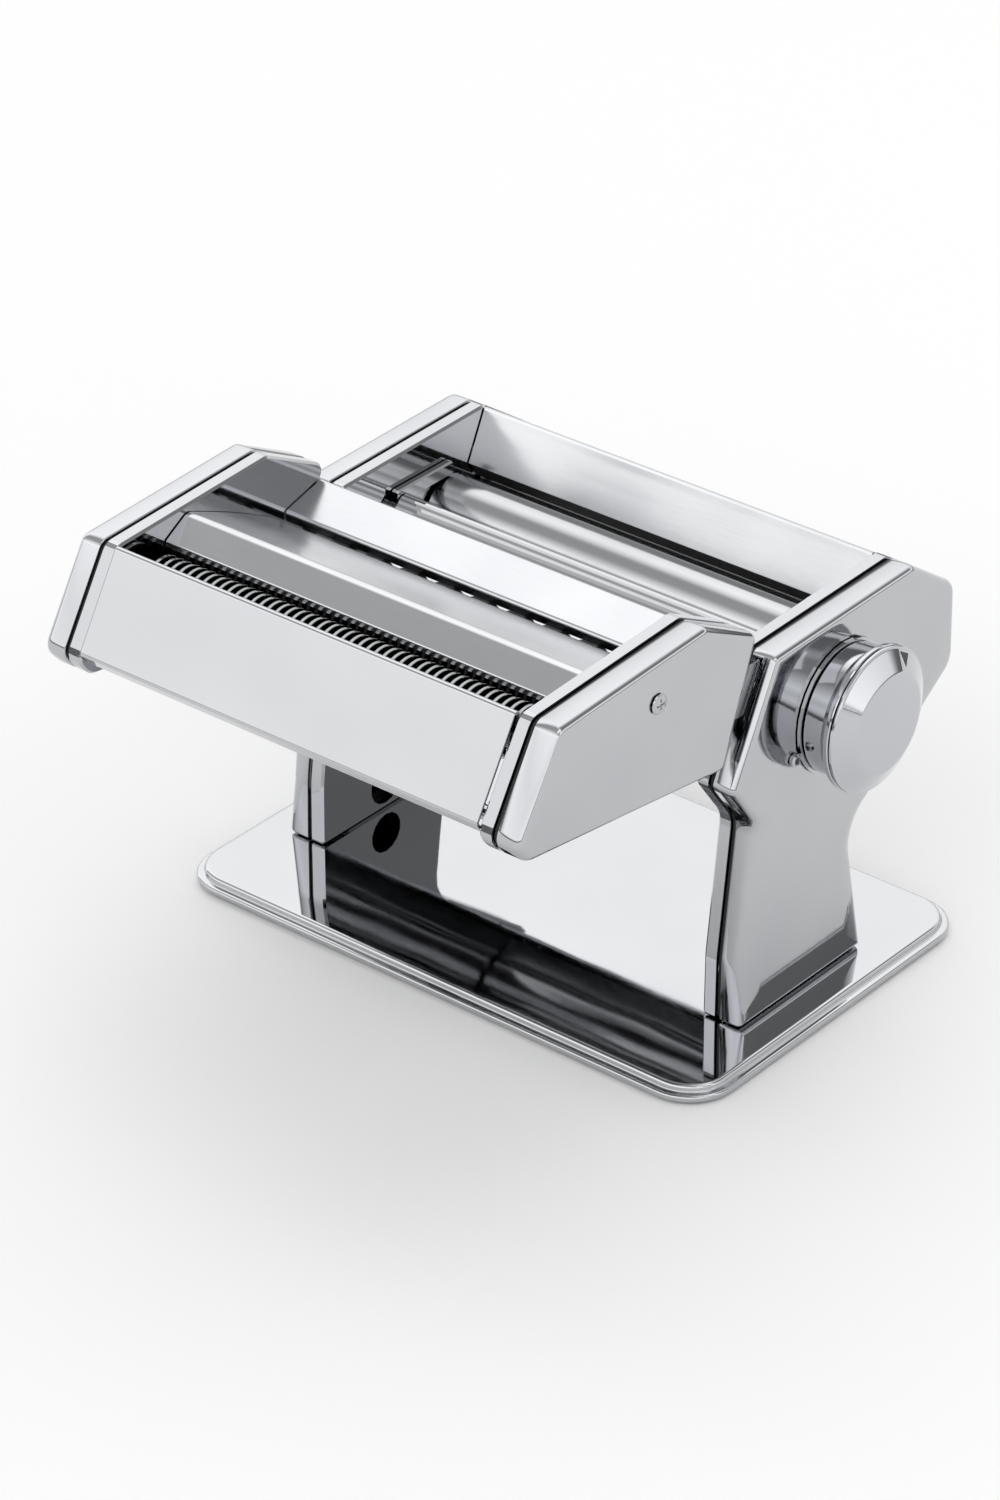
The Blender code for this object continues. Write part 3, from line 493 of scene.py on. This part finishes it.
folded_sheet("bent_front_sheet", "front_sheet", [
    (-119.34, 143.62, 0.0), (-116.33, 148.82, 1.0), (-118.3, 150.0, 1.3), (-135.51, 121.29, 1.4),
    (-132.14, 117.17, 0.0),
], "cutter_unit", mirror_sheet)
folded_sheet("bent_centre_ridge", "centre_ridge", [
    (-50.4, 127.8, 0.0), (-50.4, 131.2, 1.3), (-68.0, 140.3, 240.0), (-87.7, 148.6, 3.6),
    (-97.5, 142.9, 1.0), (-97.7, 141.1, 0.0),
], "cutter_unit", satin_sheet)
folded_sheet("bent_feed_sheet", "feed_sheet", [
    (-28.2, 130.6, 0.0), (-27.2, 134.4, 1.0), (-28.8, 135.2, 1.2), (-44.8, 130.9, 1.4),
    (-44.8, 127.7, 0.0),
], "cutter_unit", satin_sheet)
print("bent sheets:", 3)

# %% [markdown]
# A dark line lies between the bright hopper sheet and the rollers. It is painted shade: a strip in
# the black rubber finish behind the sheet's lower edge darkens the gap there. What makes that line on
# the real machine is a guess.

# %% Strip of painted shade
SHADE_STRIP_HALF = 74.2
strip = [(43.4, 115.4), (41.7, 112.2), (44.2, 107.3), (45.0, 107.7), (42.9, 112.3), (43.8, 115.2)]
loops = [[place(x, y, z) for y, z in strip] for x in (-SHADE_STRIP_HALF, SHADE_STRIP_HALF)]
# A black strip that paints the shade of the gap behind the hopper sheet's lower edge.
finish_piece("painted_shade_strip", skin(loops), seam_rubber, "frame")
print("painted shade strip length in mm:", 2 * SHADE_STRIP_HALF)

# %% [markdown]
# ## Base tray
#
# The tray is one sheet with its edge rolled down in two steps, which makes it stiff. A rounded
# rectangle is swept down through the steps. Each step has its own small round, because these are
# what draw the bright and dark lines along the edge.

# %% The tray's rolled edge
TRAY_CORNER = 16.0
TRAY_CORNER_STEPS = 10
tray_half_x = (base_high.x - base_low.x) / 2 / MM
tray_half_y = (base_high.y - base_low.y) / 2 / MM
tray_top = base_high.z / MM
tray_bottom = base_low.z / MM


def tray_ring(inset, z):
    corner = max(TRAY_CORNER - inset, 1.0)
    loop = []
    for k in range(4):
        x = (tray_half_x - inset - corner) * (1, -1, -1, 1)[k]
        y = (tray_half_y - inset - corner) * (1, 1, -1, -1)[k]
        for step in range(TRAY_CORNER_STEPS + 1):
            angle = math.pi / 2 * (k + step / TRAY_CORNER_STEPS)
            loop.append(place(x + corner * math.cos(angle), y + corner * math.sin(angle), z))
    return loop


edge = [(5.4, tray_top - 1.1), (1.5, tray_top - 2.8), (1.1, tray_bottom), (0.5, tray_bottom)]
edge += quarter(0.0, tray_bottom + 0.5, 0.0, tray_bottom + 1.0, 1, True)
edge += quarter(0.0, tray_top - 3.0, 1.0, tray_top - 2.2, 5, True)
edge += quarter(1.9, tray_top - 2.2, 2.4, tray_top - 1.7, 3, False)
edge += quarter(2.5, tray_top - 1.2, 3.9, tray_top, 5, True)
tray_piece = finish_piece("rolled_base_tray", skin([tray_ring(i, z) for i, z in edge]),
                          mirror_sheet, "frame", ("base_tray",), 60.0)
flatten(tray_piece)
print("tray size in mm:", round(2 * tray_half_x), "x", round(2 * tray_half_y))

# %% [markdown]
# ## Rollers
#
# The smooth rollers are turned from bar and ground. Their ends have a small chamfer, and the shaft
# steps down on both sides. Turning a profile with many segments is the direct way, because it is
# how the real piece is made.

# %% Smooth rollers
def roller_profile(low_x, high_x, radius, shaft, bore, shoulder):
    start = BASE_X - shoulder
    end = BASE_X + shoulder
    chamfer = 0.4 * MM
    points = []
    if bore:
        points += [(low_x + 9 * MM, bore), (low_x + 0.3 * MM, bore), (low_x, bore + 0.3 * MM)]
    points += [(low_x, shaft - 0.3 * MM), (low_x + 0.3 * MM, shaft), (start, shaft)]
    points += [(start, radius - chamfer), (start + chamfer, radius)]
    points += [(end - chamfer, radius), (end, radius - chamfer), (end, shaft)]
    points += [(high_x - 0.3 * MM, shaft), (high_x, shaft - 0.3 * MM)]
    return points


ROLLER_HALF = 74.0 * MM
ROLLER_SHAFT = 4.6 * MM
CRANK_BORE = 2.7 * MM
for name, bore in (("front_roller", None), ("rear_roller", CRANK_BORE)):
    low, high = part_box(name)
    radius = (high.z - low.z) / 2
    profile = roller_profile(low.x, high.x, radius, ROLLER_SHAFT, bore, ROLLER_HALF)
    finish_piece("turned_" + name, turned(profile, centre_of(name), 72), turned_steel, name,
                 (name,))
print("roller diameter in mm:", round(2 * radius / MM, 1))

# %% [markdown]
# ## Cutters
#
# A pair of cutters is a row of rings on each shaft, and the rings of one run in the grooves of the
# other, so that they shear the sheet of dough like scissors. The narrow pair has a ring every
# 3.1 mm and the wide pair every 13.6 mm. The loop below walks along the shaft and puts six profile
# points at each ring.

# %% Ringed cutters
CUTTER_SHAFT = 3.4 * MM
CUTTER_HALF = 71.0 * MM
GROOVE_DEPTH = 2.6 * MM
RING_ROUND = 0.12 * MM
SOCKET_BORE = 1.5 * MM


def ringed_cutter(name, ring_width, pitch, reach, shift, partner, material):
    low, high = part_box(name)
    axis = centre_of(name)
    spacing = abs(centre_of(partner).y - axis.y)
    ring = spacing / 2 + reach
    groove = spacing / 2 - GROOVE_DEPTH
    shaft = CUTTER_SHAFT
    half = CUTTER_HALF
    has_socket = low.x < BASE_X - 89 * MM
    points = []
    if has_socket:
        points += [(low.x + 9 * MM, SOCKET_BORE), (low.x, SOCKET_BORE + 0.2 * MM)]
    points += [(low.x, shaft - 0.2 * MM), (low.x + 0.2 * MM, shaft), (BASE_X - half, shaft)]
    points.append((BASE_X - half, groove))
    x = BASE_X - half + pitch / 2 + shift
    while x + ring_width < BASE_X + half:
        points += [(x, groove), (x, ring - RING_ROUND), (x + RING_ROUND, ring)]
        points += [(x + ring_width - RING_ROUND, ring), (x + ring_width, ring - RING_ROUND)]
        points.append((x + ring_width, groove))
        x += pitch
    points += [(BASE_X + half, groove), (BASE_X + half, shaft)]
    points += [(high.x - 0.2 * MM, shaft), (high.x, shaft - 0.2 * MM)]
    finish_piece("ringed_" + name, turned(points, axis, 40), material, name,
                 (name,), 30.0)
    return 2 * ring / MM


NARROW = (1.15 * MM, 3.1 * MM, 0.55 * MM)
WIDE = (6.4 * MM, 13.6 * MM, 0.55 * MM)
# The wide front cutter and both rear cutters take the dark steel, which paints the shade of their
# slots.
for (width, pitch, reach), names, front_finish in (
    (NARROW, ("narrow_front_cutter", "narrow_rear_cutter"), cutter_steel),
    (WIDE, ("wide_front_cutter", "wide_rear_cutter"), shadow_steel),
):
    ringed_cutter(names[0], width, pitch, reach, 0.0, names[1], front_finish)
    across = ringed_cutter(names[1], width, pitch, reach, pitch / 2, names[0], shadow_steel)
    print(names[0], "ring diameter in mm:", round(across, 1))

# %% [markdown]
# ## Regulator knob
#
# The knob is a turned cup with a slimmer neck, and a domed cap closes its front. The neck's
# groove, the bright lip and the wide chamfer of the cap are separate steps of two profiles, with
# small rounds between them.

# %% Knob body and cap
body_low, body_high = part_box("knob_body")
cap_low, cap_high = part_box("knob_cap")
knob_axis = centre_of("knob_cap")
outer = (cap_high.z - cap_low.z) / 2
neck = outer - 2.4 * MM
x0 = body_low.x
x1 = body_high.x
lip = x0 + 8.4 * MM
groove = neck - 1.4 * MM
profile = [(x0, 4.0 * MM), (x0, neck - 0.4 * MM)]
profile += quarter(x0, neck - 0.4 * MM, x0 + 0.4 * MM, neck, 3, True)
profile += [(x0 + 6.2 * MM, neck - 0.2 * MM), (x0 + 7.0 * MM, groove), (x0 + 7.9 * MM, groove)]
profile += quarter(lip, outer - 0.8 * MM, lip + 0.8 * MM, outer, 5, True)
profile += [(x1 - 0.3 * MM, outer), (x1, outer - 0.3 * MM), (x1, outer - 2.6 * MM)]
profile += [(x0 + 7.6 * MM, outer - 4.6 * MM), (x0 + 7.6 * MM, 4.0 * MM)]
finish_piece("turned_knob_body", turned(profile, knob_axis, 96, closed=True), chrome_knob, "knob",
             ("knob_body",), 40.0)

face_radius = 15.5 * MM
x0 = cap_low.x
x1 = cap_high.x - 0.2 * MM
profile = [(x0, outer - 0.3 * MM), (x0 + 0.3 * MM, outer)]
profile += quarter(x0 + 0.9 * MM, outer, x0 + 1.3 * MM, outer - 0.5 * MM, 4, False)
rim = Vector((x0 + 1.3 * MM, outer - 0.5 * MM))
edge = Vector((x1 - 0.5 * MM, face_radius + 0.9 * MM))
profile += [tuple(rim.lerp(edge, share)) for share in (0.06, 0.5, 0.94, 1.0)]
profile += [(x1 - 0.15 * MM, face_radius + 0.3 * MM), (x1, face_radius - 0.6 * MM)]
flat_radius = face_radius - 0.6 * MM
for k in range(1, 6):
    part = k / 5
    crown = 0.2 * MM * math.sin(part * math.pi / 2)
    profile.append((x1 + crown, flat_radius * (1 - part) + 0.3 * MM * part))
finish_piece("turned_knob_cap", turned(profile, knob_axis, 96), chrome_knob, "knob",
             ("knob_cap",), 40.0)
print("knob diameter in mm:", round(2 * outer / MM, 1))

# %% Pointer mark on the cap
POINTER_ANGLE = math.radians(59.0)


def on_chamfer(radius, aside, proud):
    share = (outer - 0.5 * MM - radius) / (outer - 0.5 * MM - face_radius - 0.9 * MM)
    x = cap_low.x + 1.3 * MM + share * (cap_high.x - cap_low.x - 2.0 * MM) + proud
    c, n = math.cos(POINTER_ANGLE), math.sin(POINTER_ANGLE)
    return (x, knob_axis.y + radius * c - aside * n, knob_axis.z + radius * n + aside * c)


mark = ((21.4, -2.3), (21.4, 2.3), (17.6, 0.0))
loops = []
for proud in (-0.5, 0.06):
    loops.append([on_chamfer(r * MM, aside * MM, proud * MM) for r, aside in mark])
finish_piece("pointer_mark", skin(loops), black_enamel, "knob")
print("pointer mark at degrees:", round(math.degrees(POINTER_ANGLE)))

# %% [markdown]
# ## Screws
#
# The cap screws are small pan heads with a cross recess. The head is turned, and a Boolean cuts
# the cross. The cutter is removed once its cut has been applied, so that the piece stays one mesh.

# %% Cross-head screws
def carve(piece, cutter):
    modifier = piece.modifiers.new("recess", "BOOLEAN")
    modifier.operation = "DIFFERENCE"
    modifier.object = cutter
    bpy.context.view_layer.update()
    graph = bpy.context.evaluated_depsgraph_get()
    carved = bpy.data.meshes.new_from_object(piece.evaluated_get(graph))
    piece.modifiers.clear()
    piece.data = carved
    bpy.data.objects.remove(cutter, do_unlink=True)
    carved.shade_smooth()
    carved.set_sharp_from_angle(angle=math.radians(35))


def cross_cutter(centre, arm, width, depth):
    """A plus-shaped prism along X around a point."""
    plus = []
    for k in range(4):
        c, s = (1, 0, -1, 0)[k], (0, 1, 0, -1)[k]
        for across in (width, -width):
            plus.append((arm * c + across * s, arm * s - across * c))
        plus.append((width * c - width * s, width * s + width * c))
    ordered = sorted(plus, key=lambda p: math.atan2(p[1], p[0]))
    loops = []
    for x in (-depth, depth):
        loops.append([centre + Vector((x, y, z)) for y, z in ordered])
    builder = skin(loops)
    mesh = bpy.data.meshes.new("cross_cutter")
    builder.to_mesh(mesh)
    builder.free()
    cutter = bpy.data.objects.new("cross_cutter", mesh)
    bpy.context.collection.objects.link(cutter)
    return cutter


for label, side in (("left", -1), ("right", 1)):
    node = f"{label}_cap_screw"
    low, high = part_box(node)
    axis = centre_of(node)
    root = low.x if side > 0 else high.x
    radius = (high.z - low.z) / 2
    profile = [(root, radius * 0.96), (root + side * 0.25 * MM, radius)]
    for k in range(1, 6):
        angle = math.pi / 2 * k / 6
        profile.append((root + side * (0.25 + 0.65 * math.sin(angle)) * MM, radius * math.cos(angle)))
    screw = finish_piece(f"{label}_pan_head_screw", turned(profile, axis, 32), turned_steel,
                         "cutter_unit", (node,))
    carve(screw, cross_cutter(Vector((root + side * 1.1 * MM, axis.y, axis.z)), radius * 0.55,
                              radius * 0.13, 0.55 * MM))
print("screws:", 2)

# %% [markdown]
# ## Stage
#
# The machine stands on a plain pale floor in soft light from all sides, as in a light tent. Polished
# steel shows what is around it, so the tent matters more than the lamps: it is bright above, and a
# darker belt just over the horizon draws the fine dark lines along the rounds. The belt is only
# for reflections, and the camera sees the same pale tone everywhere.

# %% Floor
floor_material, floor_shader = start_finish("matt_pale_floor", "F6F6F6", 0.9, 0.0)
where = add_node(floor_material, "ShaderNodeTexCoord")
speck = add_node(floor_material, "ShaderNodeTexNoise", {"Scale": 60.0, "Detail": 2.0},
                 {"Vector": where.outputs["Object"]})
grain_bump = add_node(floor_material, "ShaderNodeBump", {"Strength": 0.05, "Distance": 0.1 * MM},
                      {"Height": speck.outputs["Fac"]})
link(floor_material, grain_bump.outputs["Normal"], floor_shader, "Normal")
builder = bmesh.new()
bmesh.ops.create_circle(builder, cap_ends=True, segments=64, radius=9.0)
floor_mesh = bpy.data.meshes.new("studio_floor")
builder.to_mesh(floor_mesh)
builder.free()
floor_mesh.materials.append(floor_material)
floor = bpy.data.objects.new("studio_floor", floor_mesh)
floor.location.z = -0.02 * MM
bpy.context.collection.objects.link(floor)

# %% Light tent
# Each entry is an angle over the horizon behind the machine, going over the top to the horizon in
# front of it, with the brightness of the tent there. Two long soft boxes leave a grey gap overhead,
# and a dark screen hangs high behind the right side. Its edges are given on the unit sphere.
TENT = (
    (0, 0.15), (4, 0.25), (11, 1.20), (37, 1.50), (66, 1.75), (80, 1.30), (92, 0.52), (116, 0.55),
    (131, 1.20), (145, 1.80), (156, 1.36), (166, 1.62), (173, 1.10), (176, 0.25), (180, 0.15),
)

DARK_SCREEN = 0.2
SCREEN_RIGHT = (0.05, 0.40)
SCREEN_BEHIND = (0.0, 0.35)
SCREEN_ABOVE = (0.34, 0.46)


def tent_light(strengths, backdrop):
    world = bpy.data.worlds.new("light_tent")
    world.use_nodes = True
    where = add_node(world, "ShaderNodeTexCoord")
    parts = add_node(world, "ShaderNodeSeparateXYZ", None, {"Vector": where.outputs["Generated"]})
    turn = add_node(world, "ShaderNodeMath", {"operation": "ARCTAN2"},
                    {0: parts.outputs["Z"], 1: parts.outputs["Y"]})
    share = add_node(world, "ShaderNodeMath", {"operation": "DIVIDE", 1: math.pi},
                     {0: turn.outputs["Value"]})
    band = add_node(world, "ShaderNodeValToRGB", None, {"Fac": share.outputs["Value"]})
    elements = band.color_ramp.elements
    while len(elements) < len(strengths):
        elements.new(0.5)
    for element, (degrees, level) in zip(elements, strengths):
        element.position = degrees / 180
        element.color = (level, level, level, 1.0)
    seen = add_node(world, "ShaderNodeLightPath")
    tone = add_node(world, "ShaderNodeMix", {"data_type": "RGBA"},
                    {0: seen.outputs["Is Camera Ray"], 6: band.outputs["Color"]})
    tone.inputs[7].default_value = (backdrop, backdrop, backdrop, 1.0)
    edges = []
    for axis, (clear, full) in (("X", SCREEN_RIGHT), ("Y", SCREEN_BEHIND), ("Z", SCREEN_ABOVE)):
        ramp = add_node(world, "ShaderNodeMapRange", {"From Min": clear, "From Max": full},
                        {"Value": parts.outputs[axis]})
        edges.append(ramp.outputs["Result"])
    around = add_node(world, "ShaderNodeMath", {"operation": "MULTIPLY"}, {0: edges[1], 1: edges[2]})
    screen = add_node(world, "ShaderNodeMath", {"operation": "MULTIPLY"},
                      {0: edges[0], 1: around.outputs["Value"]})
    shade = add_node(world, "ShaderNodeMapRange", {"To Min": 1.0, "To Max": DARK_SCREEN},
                     {"Value": screen.outputs["Value"]})
    sky = world.node_tree.nodes["Background"]
    world.node_tree.links.new(tone.outputs[2], sky.inputs["Color"])
    world.node_tree.links.new(shade.outputs["Result"], sky.inputs["Strength"])
    return world


bpy.context.scene.world = tent_light(TENT, 1.0)


def soft_box(name, place_m, aim, width, power):
    light = bpy.data.lights.new(name, "AREA")
    light.shape = "RECTANGLE"
    light.size = width
    light.size_y = width * 0.7
    light.energy = power
    lamp = bpy.data.objects.new(name, light)
    lamp.location = place_m
    lamp.rotation_mode = "QUATERNION"
    lamp.rotation_quaternion = (aim - Vector(place_m)).to_track_quat("-Z", "Y")
    bpy.context.collection.objects.link(lamp)


middle = Vector((0.0, 0.0, 0.08))
soft_box("side_box", (1.5, -0.2, 1.7), middle, 1.2, 3.0)

# %% [markdown]
# ## Camera
#
# A long lens far away keeps the rollers' lines nearly parallel. The camera's place is given by its
# turn round the machine, its height angle, its distance and the point that it looks at.

# %% Camera
TURN = math.radians(39.38)
RISE = math.radians(30.70)
DISTANCE = 1.6867
LENS_MM = 130.56
FILM_MM = 36.0
AIM = place(-30.6, 3.0, 42.2)
back = Vector((math.sin(TURN) * math.cos(RISE), -math.cos(TURN) * math.cos(RISE), math.sin(RISE)))
camera_data = bpy.data.cameras.new("camera")
camera_data.lens = LENS_MM
camera_data.sensor_width = FILM_MM
camera_data.clip_end = 60.0
camera = bpy.data.objects.new("camera", camera_data)
camera.location = AIM + back * DISTANCE
camera.rotation_mode = "QUATERNION"
camera.rotation_quaternion = (-back).to_track_quat("-Z", "Y")
bpy.context.collection.objects.link(camera)
bpy.context.scene.camera = camera
bpy.context.scene.view_settings.view_transform = "Standard"
